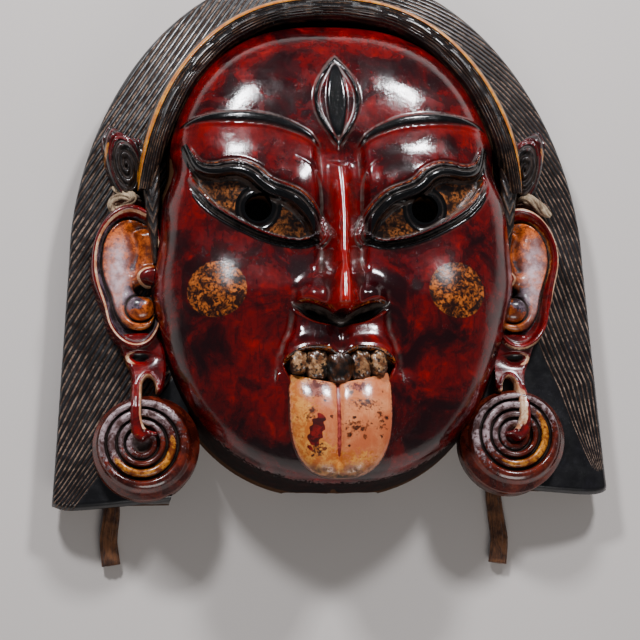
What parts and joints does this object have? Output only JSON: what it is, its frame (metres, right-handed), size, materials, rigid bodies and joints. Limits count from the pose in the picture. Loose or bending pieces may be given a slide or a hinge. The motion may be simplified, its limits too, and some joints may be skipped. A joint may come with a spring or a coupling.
{
  "type": "lacquered wooden mask",
  "caption": "Carved wooden deity mask with a put-out tongue, long ears over round ear discs, combed hair boards, pierced pupils, a hollow back and soft ties.",
  "frame": {"origin": "on the surface that the back rim rests on, under the middle of the carving's outline", "axes": "+X to the viewer's right, +Y to the top of the head, +Z out of the face"},
  "size_m": [0.4, 0.4461, 0.1328],
  "materials": {
    "lacquer_red": "glossy dark red lacquer on wood, mottled black, worn",
    "cloth": "folded cotton strips, cream in front and stained brown below"
  },
  "bodies": {
    "root": {"mask": "lacquer_red", "tie_left": "cloth", "tie_right": "cloth"}
  },
  "joints": []
}
